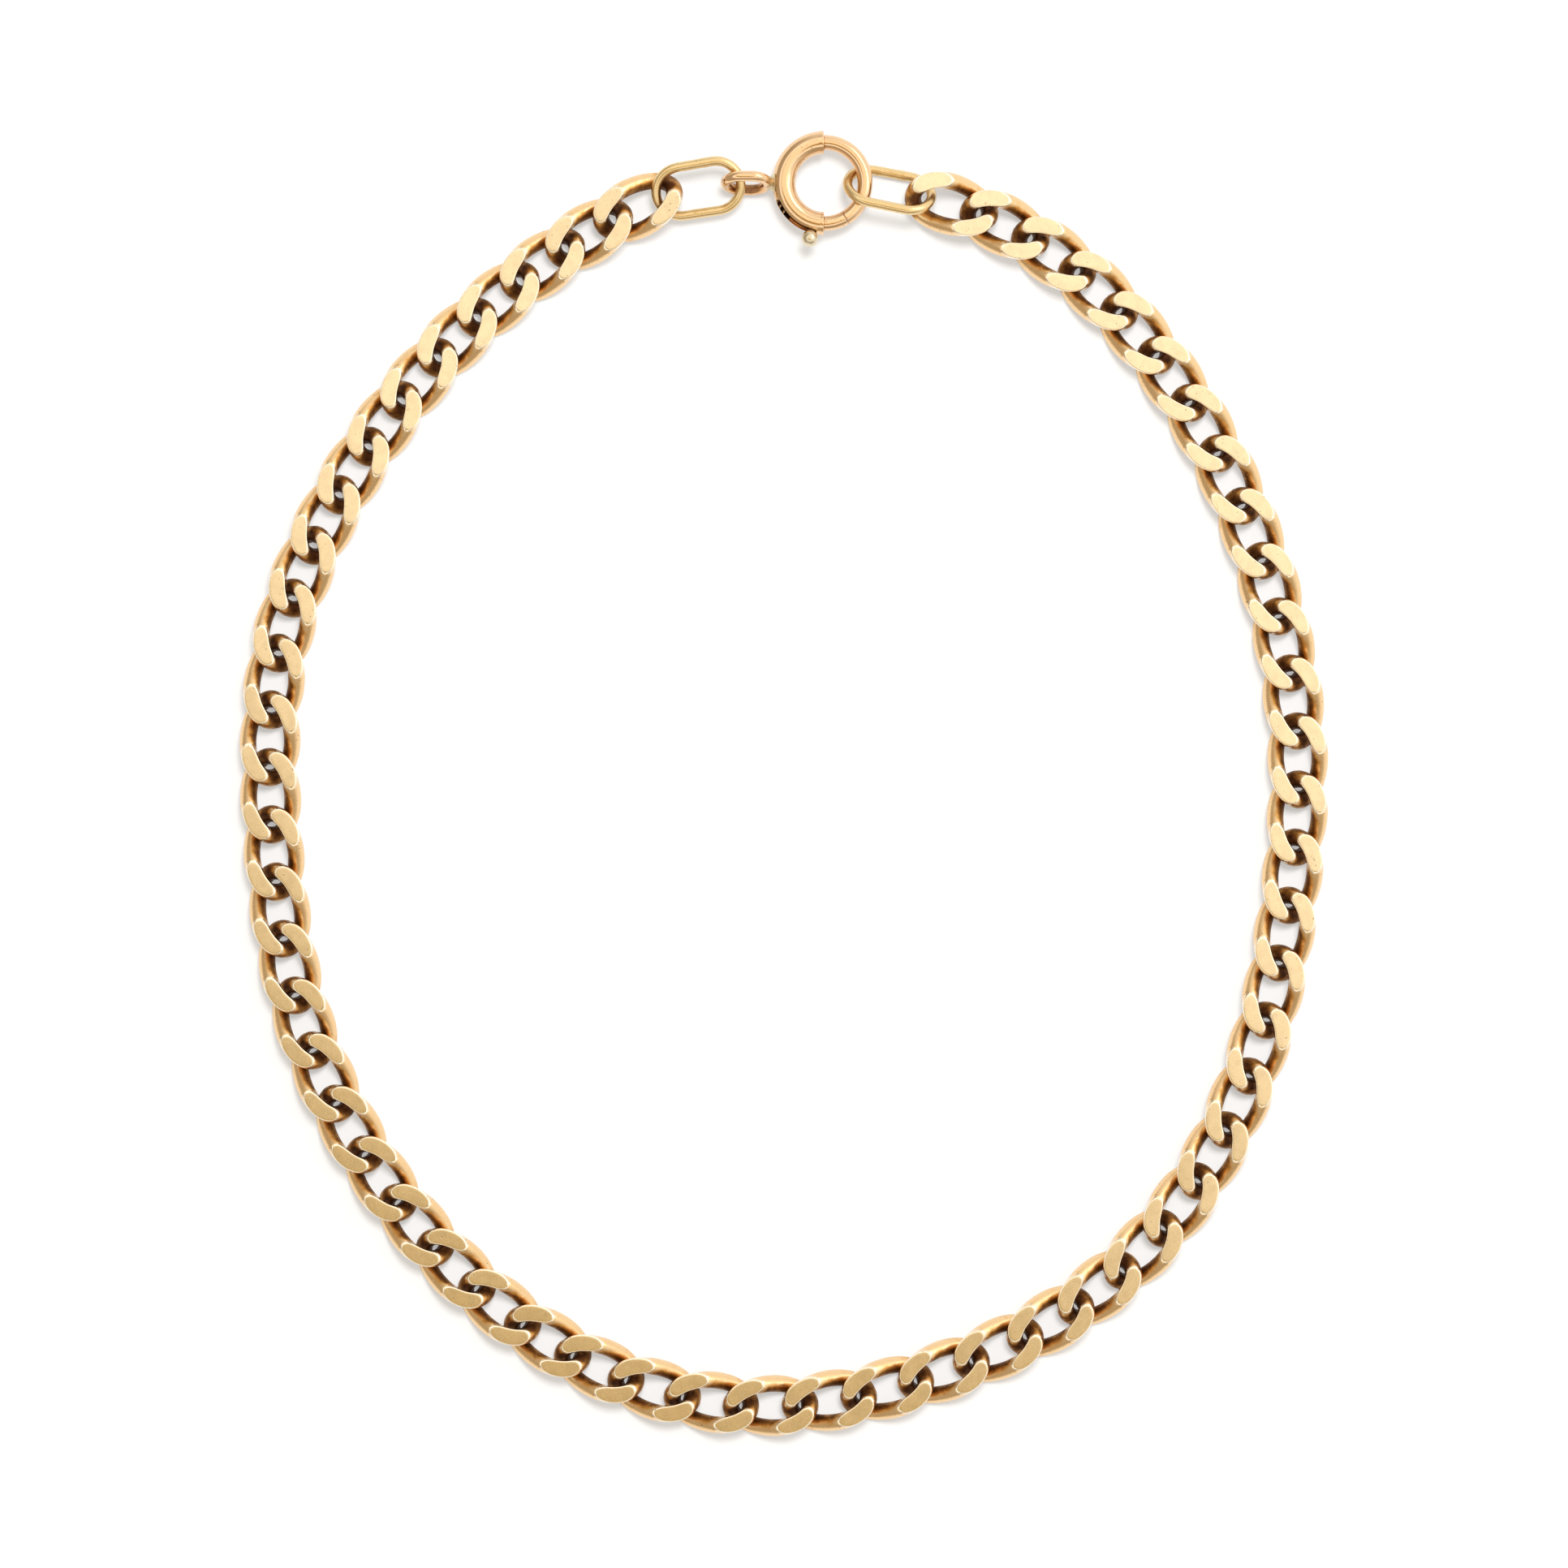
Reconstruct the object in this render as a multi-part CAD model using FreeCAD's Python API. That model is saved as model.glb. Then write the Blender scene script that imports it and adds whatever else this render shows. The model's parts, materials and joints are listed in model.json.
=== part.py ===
import FreeCAD, Part
import math
import os
from FreeCAD import Vector

# Flat curb chain necklace, closed by a bolt-ring clasp and lying open on a table.
# Millimetres. +X right, +Y from the front of the necklace to the clasp, +Z up from the table.
# The origin is under the middle of the necklace, on the table.
# Links are counted down each side from the clasp to the single link at the bottom of the loop.

# Curb links: a twisted oval ring of round wire, milled flat above and below
CURB_LINKS_PER_SIDE = 28
CURB_WIRE_D = 1.9
CURB_EYE_SPACE = 3.28          # eye length left over when both neighbours' wires are in it
CURB_EYE_PLAY = 1.2            # eye width over one wire
CURB_WEAVE_GAP = 0.35          # how far past half a wire the link's rails rise and dip
CURB_FACET_DEPTH = 0.75        # milled off the top and off the bottom
CURB_STATIONS = 4              # path stations in half a link

# Slack of each link against its neighbour, from the pulled-tight spacing
SLACK_RIGHT_END = 0.55
SLACK_BOTTOM = 0.35
SLACK_LEFT_END = 0.75

# Plain oval end links of thin wire
LONG_WIRE_D = 1.1
LONG_EYE_LENGTH = 8.6
LONG_EYE_PLAY = 2.7            # eye width over one curb wire
LONG_PIVOT_GAP = 0.3           # from the end wire's inner side to the point it hangs on
LONG_ROLL_LEFT = 18.0          # degrees about its own length, outer rail up
LONG_ROLL_RIGHT = -44.0
LONG_SLOPE_LEFT = 9.0          # degrees in plan
LONG_SLOPE_RIGHT = -11.0

# Bolt ring
RING_MEAN_R = 4.6
RING_WIRE_D = 1.7
BOLT_CLEARANCE = 0.08          # radial, in the casing's bore
CASING_WALL = 0.37
CASING_START = 91.0            # degrees round the ring from +X, anticlockwise
CASING_END = 269.0
SPIGOT_ANGLE = 20.0            # how far the fixed wire goes into the casing
SEAM_ANGLE = 301.0             # where the bolt's tip meets the fixed wire
SEAM_GAP = 0.04
BOLT_INNER_END = 225.0
KNOB_ANGLE = 255.4             # of the thumb knob with the ring closed
BOLT_TRAVEL = 50.0             # degrees
KNOB_D = 1.9
PIN_D = 0.7
PIN_ELEVATION = 30.0           # degrees above the ring's plane
KNOB_GAP = 0.08
SLOT_PLAY = 0.1                # each side of the pin

# Spring in the casing
SPRING_WIRE_D = 0.26
SPRING_PLAY = 0.06             # radial, in the bore
SPRING_TURNS = 14
SPRING_END_GAP = 0.06
ARCS_PER_TURN = 6

# Eyelet soldered to the back of the casing
EYELET_WIRE_D = 1.2
EYELET_EYE_LENGTH = 3.5
EYELET_EYE_PLAY = 1.3          # eye width over the end link's wire
EYELET_LEAN = 20.0             # degrees from upright
SOLDER_LENGTH = 0.9
SOLDER_ROOT_D = 2.0
SOLDER_TIP_D = 1.1

# How the necklace lies: heights over the table and the loop's shape
RING_HEIGHT = 2.7
END_LIFT = 1.15                # rise of the chain's ends to the clasp
LIFTED_LINKS = 4
# The loop from the right end link to the left one, measured from the bolt ring's centre;
# the loop keeps this shape and grows or shrinks to the chain's length.
LOOP_SHAPE = [
    (24.1, -6.6), (40.3, -23.2), (49.7, -42.8), (53.7, -62.9), (52.5, -83.3), (47.1, -104.2),
    (34.0, -123.2), (13.3, -134.9), (-10.7, -138.6), (-33.5, -130.0), (-50.0, -113.4),
    (-59.6, -93.7), (-62.7, -73.1), (-61.9, -52.7), (-54.0, -33.4), (-40.7, -16.4),
]
LOOP_SAMPLES = 4000
MESH_STEP = 0.1                # of the rough mesh that measures the whole necklace

# Values that follow from the ones above
curb_eye_length = 2 * CURB_WIRE_D + CURB_EYE_SPACE
curb_eye_width = CURB_WIRE_D + CURB_EYE_PLAY
curb_half_length = (curb_eye_length + CURB_WIRE_D) / 2
curb_half_width = (curb_eye_width + CURB_WIRE_D) / 2
curb_lift = CURB_WIRE_D / 2 + CURB_WEAVE_GAP
chain_thickness = 2 * (curb_lift + CURB_WIRE_D / 2 - CURB_FACET_DEPTH)
curb_count = 2 * CURB_LINKS_PER_SIDE + 1
long_half_length = (LONG_EYE_LENGTH + LONG_WIRE_D) / 2
long_eye_width = CURB_WIRE_D + LONG_EYE_PLAY
long_half_width = (long_eye_width + LONG_WIRE_D) / 2
long_reach = LONG_EYE_LENGTH / 2 - LONG_PIVOT_GAP
bore_r = RING_WIRE_D / 2 + BOLT_CLEARANCE
casing_r = bore_r + CASING_WALL
ring_pivot_r = RING_MEAN_R - RING_WIRE_D / 2 - LONG_PIVOT_GAP
eyelet_half_length = (EYELET_EYE_LENGTH + EYELET_WIRE_D) / 2
eyelet_half_width = (LONG_WIRE_D + EYELET_EYE_PLAY + EYELET_WIRE_D) / 2
eyelet_centre_r = RING_MEAN_R + casing_r + EYELET_WIRE_D / 2 + eyelet_half_length
eyelet_pivot_r = eyelet_centre_r + EYELET_EYE_LENGTH / 2 - LONG_PIVOT_GAP
knob_reach = casing_r + KNOB_GAP + KNOB_D / 2

ORIGIN = Vector(0, 0, 0)
UP = Vector(0, 0, 1)


def turned(angle, radius=1.0):
    """A flat vector of this length, at this many degrees from +X."""
    return Vector(radius * math.cos(math.radians(angle)), radius * math.sin(math.radians(angle)), 0)


def round_wire(edges, start, direction, diameter):
    """A solid of round section along joined edges that begin at start in this direction."""
    section = Part.Wire([Part.Circle(start, direction, diameter / 2).toShape()])
    return Part.Wire(edges).makePipeShell([section], True, False)


def arc_to(start, corner, end):
    """The arc that leaves start towards corner and comes to end from corner."""
    chord = end - start
    middle = (start + end) * 0.5
    cosine = min(1.0, chord.Length / 2 / (corner - start).Length)
    radius = chord.Length / 2 / math.sin(math.acos(cosine))
    side = corner - middle
    side.normalize()
    return Part.Arc(start, middle + side * (radius * (1 - cosine)), end).toShape()


def two_arcs(start, start_way, end, end_way):
    """Two arcs, tangent to each other, between two points with given unit directions."""
    across = end - start
    ways = start_way + end_way
    spread = 2 * (1 - start_way.dot(end_way))
    along = across.dot(ways)
    reach = (math.sqrt(along * along + spread * across.dot(across)) - along) / spread
    first = start + start_way * reach
    second = end - end_way * reach
    meeting = (first + second) * 0.5
    return [arc_to(start, first, meeting), arc_to(meeting, second, end)]


def curb_point(turn):
    return Vector(
        curb_half_length * math.cos(turn),
        curb_half_width * math.sin(turn),
        -curb_lift * math.sin(2 * turn),
    )


def curb_way(turn):
    way = Vector(
        -curb_half_length * math.sin(turn),
        curb_half_width * math.cos(turn),
        -2 * curb_lift * math.cos(2 * turn),
    )
    way.normalize()
    return way


def curb_link():
    """One link, its length along X and its facets facing +Z and -Z."""
    edges = []
    for station in range(CURB_STATIONS):
        before = math.pi * station / CURB_STATIONS
        after = math.pi * (station + 1) / CURB_STATIONS
        edges += two_arcs(curb_point(before), curb_way(before), curb_point(after), curb_way(after))
    half = round_wire(edges, curb_point(0), curb_way(0), CURB_WIRE_D)
    other = half.copy()
    other.rotate(ORIGIN, UP, 180)
    side = 4 * curb_half_length
    slab = Part.makeBox(side, side, chain_thickness, Vector(-side / 2, -side / 2, -chain_thickness / 2))
    return half.fuse(other).common(slab).Solids[0]


def oval_link(half_length, half_width, diameter):
    """A plain wire oval in the XY plane: two straight rails and two half circles."""
    straight = half_length - half_width
    near, far = Vector(0, -half_width, 0), Vector(0, half_width, 0)
    run = Vector(straight, 0, 0)
    edges = [
        Part.LineSegment(near - run, near + run).toShape(),
        Part.Arc(near + run, Vector(half_length, 0, 0), far + run).toShape(),
        Part.LineSegment(far + run, far - run).toShape(),
        Part.Arc(far - run, Vector(-half_length, 0, 0), near - run).toShape(),
    ]
    return round_wire(edges, near - run, Vector(1, 0, 0), diameter)


def ring_piece(start_angle, end_angle, diameter):
    """Round stock bent to the bolt ring's radius, between two angles."""
    middle = (start_angle + end_angle) / 2
    arc = Part.Arc(
        turned(start_angle, RING_MEAN_R), turned(middle, RING_MEAN_R), turned(end_angle, RING_MEAN_R)
    )
    return round_wire(
        [arc.toShape()], turned(start_angle, RING_MEAN_R), turned(start_angle + 90), diameter
    )


def pin_direction(angle):
    lean = math.radians(PIN_ELEVATION)
    return turned(angle) * math.cos(lean) + UP * math.sin(lean)


def pin(angle, diameter, length):
    return Part.makeCylinder(diameter / 2, length, turned(angle, RING_MEAN_R), pin_direction(angle))


def slot_cutter():
    """The space that the thumb knob's pin sweeps through the casing's wall."""
    width = PIN_D + 2 * SLOT_PLAY
    reach = 2 * casing_r
    out = pin_direction(0)
    side = Vector(-out.z, 0, out.x) * (width / 2)
    base = Vector(RING_MEAN_R, 0, 0)
    corners = [base + side, base + out * reach + side, base + out * reach - side, base - side]
    section = Part.Face(Part.makePolygon(corners + corners[:1]))
    swept = section.revolve(ORIGIN, UP, BOLT_TRAVEL)
    swept.rotate(ORIGIN, UP, KNOB_ANGLE - BOLT_TRAVEL)
    ends = [pin(KNOB_ANGLE, width, reach), pin(KNOB_ANGLE - BOLT_TRAVEL, width, reach)]
    return swept.fuse(ends)


def clasp_casing():
    outside = ring_piece(CASING_START, CASING_END, 2 * casing_r)
    bore = ring_piece(CASING_START - 1, CASING_END + 1, 2 * bore_r)
    return outside.cut(bore).cut(slot_cutter()).Solids[0]


def clasp_ring_wire():
    """The fixed wire, with a thicker spigot that fills the casing's upper mouth."""
    wire = ring_piece(SEAM_ANGLE - 360, CASING_START, RING_WIRE_D)
    spigot = ring_piece(CASING_START, CASING_START + SPIGOT_ANGLE, 2 * bore_r)
    return wire.fuse(spigot).Solids[0]


def clasp_bolt():
    seam = math.degrees(SEAM_GAP / RING_MEAN_R)
    bolt = ring_piece(BOLT_INNER_END, SEAM_ANGLE - seam, RING_WIRE_D)
    return bolt.cut(pin(KNOB_ANGLE, PIN_D, casing_r)).Solids[0]


def clasp_thumb_knob():
    centre = turned(KNOB_ANGLE, RING_MEAN_R) + pin_direction(KNOB_ANGLE) * knob_reach
    return Part.makeSphere(KNOB_D / 2, centre).fuse(pin(KNOB_ANGLE, PIN_D, knob_reach)).Solids[0]


def clasp_spring():
    """A coil wound along the casing's bore, between the spigot and the bolt."""
    gap = math.degrees((SPRING_END_GAP + SPRING_WIRE_D / 2) / RING_MEAN_R)
    start = CASING_START + SPIGOT_ANGLE + gap
    span = BOLT_INNER_END - gap - start
    coil_r = bore_r - SPRING_PLAY - SPRING_WIRE_D / 2

    def place(turn):
        angle = start + span * turn / SPRING_TURNS
        round_angle = 2 * math.pi * turn
        return turned(angle, RING_MEAN_R + coil_r * math.cos(round_angle)) + UP * (
            coil_r * math.sin(round_angle)
        )

    def way(turn):
        step = place(turn + 0.001) - place(turn - 0.001)
        step.normalize()
        return step

    edges = []
    steps = SPRING_TURNS * ARCS_PER_TURN
    for step in range(steps):
        before, after = step / ARCS_PER_TURN, (step + 1) / ARCS_PER_TURN
        edges += two_arcs(place(before), way(before), place(after), way(after))
    return round_wire(edges, place(0), way(0), SPRING_WIRE_D)


def clasp_eyelet():
    oval = oval_link(eyelet_half_length, eyelet_half_width, EYELET_WIRE_D)
    oval.rotate(ORIGIN, Vector(1, 0, 0), 90 - EYELET_LEAN)
    oval.translate(Vector(-eyelet_centre_r, 0, 0))
    root = Vector(SOLDER_LENGTH / 2 - RING_MEAN_R - casing_r, 0, 0)
    solder = Part.makeCone(SOLDER_ROOT_D / 2, SOLDER_TIP_D / 2, SOLDER_LENGTH, root, Vector(-1, 0, 0))
    outside = ring_piece(CASING_START, CASING_END, 2 * casing_r)
    return oval.fuse(solder).cut(outside).Solids[0]


# Where the pieces lie, measured from the bolt ring's centre in plan and from the table in height
mid_height = chain_thickness / 2
ring_place = Vector(0, 0, RING_HEIGHT)
ring_pivot = ring_place + Vector(ring_pivot_r, 0, 0)
eyelet_pivot = ring_place - Vector(eyelet_pivot_r, 0, 0)
chain_start = ring_pivot + turned(LONG_SLOPE_RIGHT, 2 * long_reach)
chain_end = eyelet_pivot - turned(LONG_SLOPE_LEFT, 2 * long_reach)
for end in (chain_start, chain_end):
    end.z = mid_height + END_LIFT


def link_spacing(index):
    """Spacing of curb link number index, counted clockwise from the right end link."""
    share = (index - 1) / (curb_count - 1)
    if share < 0.5:
        slack = SLACK_RIGHT_END + (SLACK_BOTTOM - SLACK_RIGHT_END) * 2 * share
    else:
        slack = SLACK_BOTTOM + (SLACK_LEFT_END - SLACK_BOTTOM) * (2 * share - 1)
    return curb_eye_length - slack


def pivot_height(index):
    steps = min(index, curb_count - index)
    lifted = max(0.0, 1 - steps / LIFTED_LINKS)
    return mid_height + END_LIFT * lifted * lifted


def loop_points(scale):
    """Points along the smooth loop, from the right end link clockwise to the left one."""
    route = [Vector(chain_start.x, chain_start.y, 0)]
    route += [Vector(x, y, 0) * scale for x, y in LOOP_SHAPE]
    route += [Vector(chain_end.x, chain_end.y, 0)]
    curve = Part.BSplineCurve()
    curve.interpolate(route)
    return curve.discretize(LOOP_SAMPLES)


def walk(points):
    """Pivots stepped off along the loop, and how far the last one stops short of its end."""
    pivots = [Vector(points[0].x, points[0].y, pivot_height(0))]
    place = 0
    for index in range(1, curb_count + 1):
        height = pivot_height(index)
        rise = height - pivots[-1].z
        step = math.sqrt(link_spacing(index) ** 2 - rise * rise)
        here = Vector(pivots[-1].x, pivots[-1].y, 0)
        while place < len(points) - 1 and (points[place] - here).Length < step:
            place += 1
        before, after = points[place - 1], points[place]
        near = (before - here).Length
        far = (after - here).Length
        share = (step - near) / (far - near)
        found = before + (after - before) * share
        pivots.append(Vector(found.x, found.y, height))
    last = Vector(pivots[-1].x, pivots[-1].y, 0)
    short = (points[-1] - last).Length
    if last.x < points[-1].x and place < len(points) - 1:
        return pivots, short
    return pivots, -short


def lay_chain():
    """Pivots of the curb chain, with the loop sized so that the last one meets the end link."""
    low, high = 0.3, 3.0
    for _ in range(50):
        scale = (low + high) / 2
        pivots, short = walk(loop_points(scale))
        if short > 0:
            high = scale
        else:
            low = scale
    return pivots


def laid_between(shape, start, end, roll=0.0):
    """A copy of a link, rolled about its length and laid with its X axis from start to end."""
    along = end - start
    along.normalize()
    outward = UP.cross(along)
    outward.normalize()
    upward = along.cross(outward)
    middle = (start + end) * 0.5
    placed = shape.copy()
    placed.rotate(ORIGIN, Vector(1, 0, 0), roll)
    placed.transformShape(
        FreeCAD.Matrix(
            along.x, outward.x, upward.x, middle.x,
            along.y, outward.y, upward.y, middle.y,
            along.z, outward.z, upward.z, middle.z,
            0, 0, 0, 1,
        ),
        False,
    )
    return placed


# The six links each side of the bottom one are laid in twos that share a node
PAIRED_FROM = CURB_LINKS_PER_SIDE - 5


def link_groups():
    """Node name and the curb links in it, counted clockwise, for every curb node."""
    groups = {}
    for side in ("right", "left"):
        number = 1
        while number <= CURB_LINKS_PER_SIDE:
            together = [number] if number < PAIRED_FROM else [number, number + 1]
            label = "_".join(f"{n:02d}" for n in together)
            word = "link" if len(together) == 1 else "links"
            places = [n if side == "right" else curb_count + 1 - n for n in together]
            groups[f"curb_{word}_{side}_{label}"] = places
            number += len(together)
    groups["curb_link_bottom"] = [CURB_LINKS_PER_SIDE + 1]
    return groups


pivots = lay_chain()
curb = curb_link()
long_link = oval_link(long_half_length, long_half_width, LONG_WIRE_D)
nodes = {}
for name, numbers in link_groups().items():
    laid = [laid_between(curb, pivots[n - 1], pivots[n]) for n in numbers]
    nodes[name] = laid[0] if len(laid) == 1 else Part.makeCompound(laid)
nodes["long_link_right"] = laid_between(long_link, ring_pivot, pivots[0], LONG_ROLL_RIGHT)
nodes["long_link_left"] = laid_between(long_link, pivots[-1], eyelet_pivot, LONG_ROLL_LEFT)
clasp = {
    "clasp_casing": clasp_casing(),
    "clasp_ring_wire": clasp_ring_wire(),
    "clasp_bolt": clasp_bolt(),
    "clasp_thumb_knob": clasp_thumb_knob(),
    "clasp_spring": clasp_spring(),
    "clasp_eyelet": clasp_eyelet(),
}
for name, shape in clasp.items():
    shape.translate(ring_place)
    nodes[name] = shape

# Move the whole necklace so that the origin is under its middle; the table is already at height 0
corners = [point for shape in nodes.values() for point in shape.tessellate(MESH_STEP)[0]]
spans = [(min(c[k] for c in corners), max(c[k] for c in corners)) for k in range(3)]
shift = Vector(-sum(spans[0]) / 2, -sum(spans[1]) / 2, 0)
os.makedirs("parts", exist_ok=True)
for name, shape in nodes.items():
    shape.translate(shift)
    shape.exportStep(f"parts/{name}.step")
print(len(nodes), "nodes, from", [round(s[0], 2) for s in spans], "to", [round(s[1], 2) for s in spans])
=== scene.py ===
import json
import math

import bmesh
import bpy
import numpy as np
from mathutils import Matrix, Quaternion, Vector

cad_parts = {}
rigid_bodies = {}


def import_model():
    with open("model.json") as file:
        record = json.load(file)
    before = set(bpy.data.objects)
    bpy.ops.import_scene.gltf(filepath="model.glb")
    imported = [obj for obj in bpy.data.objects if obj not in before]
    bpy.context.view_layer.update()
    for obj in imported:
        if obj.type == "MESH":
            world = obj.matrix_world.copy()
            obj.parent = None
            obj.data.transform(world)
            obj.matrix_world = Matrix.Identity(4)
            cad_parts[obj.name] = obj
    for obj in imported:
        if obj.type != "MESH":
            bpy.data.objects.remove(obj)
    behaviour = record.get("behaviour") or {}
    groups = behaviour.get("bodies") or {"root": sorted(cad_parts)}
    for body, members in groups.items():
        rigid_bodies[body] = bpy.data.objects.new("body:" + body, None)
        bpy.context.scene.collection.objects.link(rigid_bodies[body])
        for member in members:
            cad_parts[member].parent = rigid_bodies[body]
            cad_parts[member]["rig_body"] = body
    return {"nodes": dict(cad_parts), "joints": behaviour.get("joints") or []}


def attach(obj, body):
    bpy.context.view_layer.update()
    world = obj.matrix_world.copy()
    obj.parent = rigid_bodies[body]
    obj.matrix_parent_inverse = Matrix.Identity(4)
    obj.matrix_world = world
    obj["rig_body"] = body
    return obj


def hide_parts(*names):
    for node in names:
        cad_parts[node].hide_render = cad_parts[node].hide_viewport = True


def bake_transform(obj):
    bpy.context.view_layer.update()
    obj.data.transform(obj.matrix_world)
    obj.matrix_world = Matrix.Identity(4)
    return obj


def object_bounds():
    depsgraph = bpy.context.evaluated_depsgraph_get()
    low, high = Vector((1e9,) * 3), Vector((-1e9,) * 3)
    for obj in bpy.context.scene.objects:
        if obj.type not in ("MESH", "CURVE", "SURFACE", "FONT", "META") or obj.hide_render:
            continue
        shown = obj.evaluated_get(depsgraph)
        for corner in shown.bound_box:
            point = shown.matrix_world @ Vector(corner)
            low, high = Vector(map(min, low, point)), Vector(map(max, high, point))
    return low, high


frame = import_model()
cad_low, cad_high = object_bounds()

# Chain necklace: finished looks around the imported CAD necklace.
# Shapes are worked out in millimetres and turned into metres where a mesh is made.
# A link is built round its own centre and laid where its CAD node lies. The clasp is built
# round the centre of its ring.

MM = 0.001
UP = np.array([0.0, 0.0, 1.0])

# Curb links, as in the CAD
CURB_HALF_LENGTH = 4.49
CURB_HALF_WIDTH = 2.5
CURB_LIFT = 1.3
CURB_WIRE_R = 0.95
CURB_HALF_THICKNESS = 1.5
CURB_STATIONS = 150            # of the mesh along a link's wire
CURB_ROUND = 56                # and round it
CROWDING = 5                   # how many more mesh lines lie beside a facet's edge
CROWDING_REACH = 0.13          # radians round the wire that they are spread over
FACET_EDGE = 0.05              # how far along the surface a facet's edge is rounded over
PAINTED_HIGHLIGHT_HALF_WIDTH = 0.09              # half width of the painted highlight line along that edge, partly a rubbed line of wear
GENTLEST_SLOPE = 0.4           # of the wire's side where a facet cuts it, for the rounding
STEEPEST_SLOPE = 4.5
MILL_TILT = 0.003              # typical slope of a facet against its link's middle plane
SOLDER_LUMP = 0.05             # rise of the solder at a link's closing seam
SOLDER_WIDTH = 0.42
SEAM_DEPTH = 0.035
SEAM_WIDTH = 0.09
SEAM_WANDER = 0.06             # radians that a seam lies off the end of its link
WIRE_WAVE = 0.008              # slow change in the wire's radius, as a share of it
DENTS = 7                      # on each link
DENT_SIZE = (0.1, 0.24)
DENT_DEPTH = (0.01, 0.03)

# Patina and painted shade on a curb link: what there is everywhere, and what each kind of place
# adds. The inner side gets patina and painted shade, the low sides and the ends painted shade, and
# the rubbed top is cleaner.
PATINA_ALL = 0.05
PATINA_AND_SHADE_INNER = 0.75
PAINTED_SHADE_LOW = 0.25
PAINTED_SHADE_ENDS = 0.65
PATINA_RUBBED = -0.55

# Oval end links
LONG_HALF_LENGTH = 4.85
LONG_HALF_WIDTH = 2.85
LONG_WIRE_R = 0.55
LONG_BOW = 0.012               # how unevenly the rails bow, as a share of the width
LONG_SEAM_X = 1.1              # place of the soldered seam along one rail
LONG_SOLDER_LUMP = 0.03
LONG_SOLDER_WIDTH = 0.3
LONG_SEAM_DEPTH = 0.03
LONG_SEAM_WIDTH = 0.06

# Bolt ring
RING_MEAN_R = 4.6
RING_WIRE_R = 0.85
CASING_R = 1.3
BORE_R = 0.93
CASING_START = 91.0
CASING_END = 269.0
CASING_AROUND = 64             # mesh lines round the casing, from one edge of its slot to the other
MOUTH_BEAD = 0.035             # rise of the rolled bead at each mouth
MOUTH_BEAD_WIDTH = 0.34
END_ROUNDING = 0.07            # of the casing's rims and of the ends of the ring's round stock
SPIGOT_ANGLE = 12.0            # of ring wire inside the casing
SEAM_ANGLE = 301.0             # where the bolt meets the ring wire
SEAM_GAP_ANGLE = 0.6
BOLT_INNER_END = 225.0
KNOB_ANGLE = 255.4
BOLT_TRAVEL = 50.0
KNOB_R = 0.95
KNOB_NECK_R = 0.42
KNOB_CROWN = 0.05              # how far the top of the ball is flattened
PIN_R = 0.35
SLOT_PLAY = 0.1
PIN_ELEVATION = 30.0
KNOB_REACH = 2.33
SPRING_WIRE_R = 0.13
SPRING_COIL_R = 0.74
SPRING_TURNS = 14
SPRING_STEPS = 26              # mesh stations in each turn
SPRING_AROUND = 10
SPRING_START = 113.5
SPRING_END = 222.5

# Eyelet behind the casing
EYELET_HALF_LENGTH = 2.35
EYELET_HALF_WIDTH = 1.8
EYELET_WIRE_R = 0.6
EYELET_CENTRE_R = 8.85
EYELET_LEAN = 20.0
SOLDER_TIP_R = 0.62            # of the solder neck between casing and eyelet, at the eyelet
SOLDER_FLARE = 0.62            # more than that at the casing
SOLDER_SKIN = 0.05             # height of the lumps on its skin
SOLDER_SINK = 0.28             # how far it reaches into the casing's wall


# ---------------------------------------------------------------- mesh helpers


def smooth(low, high, value):
    share = np.clip((value - low) / (high - low), 0.0, 1.0)
    return share * share * (3 - 2 * share)


def bell(value, width):
    """1 where the value is 0, and falling away on both sides of it."""
    return np.exp(-((value / width) ** 2))


def unit(vectors):
    return vectors / np.linalg.norm(vectors, axis=-1, keepdims=True)


def grid_faces(stations, around, closed_along, closed_around):
    """Quads of a stations by around grid of vertices."""
    faces = []
    last_station = stations if closed_along else stations - 1
    last_around = around if closed_around else around - 1
    for i in range(last_station):
        this, following = i * around, ((i + 1) % stations) * around
        for j in range(last_around):
            k = (j + 1) % around
            faces.append((this + j, following + j, following + k, this + k))
    return faces


def path_frames(centres, closed):
    """Two directions across a path at each centre: one level, one square to it and upward."""
    if closed:
        along = unit(np.roll(centres, -1, axis=0) - np.roll(centres, 1, axis=0))
    else:
        along = unit(np.gradient(centres, axis=0))
    side = unit(np.cross(along, UP))
    return side, np.cross(side, along)


def round_skin(centres, radii, side, above, around):
    """Points of a tube's round skin, one ring for each centre; radii is one number or many."""
    radii = np.broadcast_to(np.asarray(radii, float), (len(centres),))
    turn = np.linspace(0, 2 * math.pi, around, endpoint=False)
    ring = (
        np.cos(turn)[None, :, None] * side[:, None, :]
        + np.sin(turn)[None, :, None] * above[:, None, :]
    )
    return (centres[:, None, :] + radii[:, None, None] * ring).reshape(-1, 3)


def end_caps(stations, around):
    """Faces that close the two ends of a tube."""
    last = (stations - 1) * around
    return [tuple(range(around)), tuple(last + j for j in reversed(range(around)))]


def tube(centres, radii, around, closed):
    """Points and faces of a round tube, and how far each point faces to the path's side."""
    side, above = path_frames(centres, closed)
    points = round_skin(centres, radii, side, above, around)
    faces = grid_faces(len(centres), around, closed, True)
    if not closed:
        faces += end_caps(len(centres), around)
    turn = np.linspace(0, 2 * math.pi, around, endpoint=False)
    return points, faces, np.tile(np.cos(turn), len(centres))


def quarter_round(count):
    """Steps from 0 to 1, close together at first, as a quarter circle leaves its tangent."""
    return 1 - np.cos(np.linspace(0, math.pi / 2, count))


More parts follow.
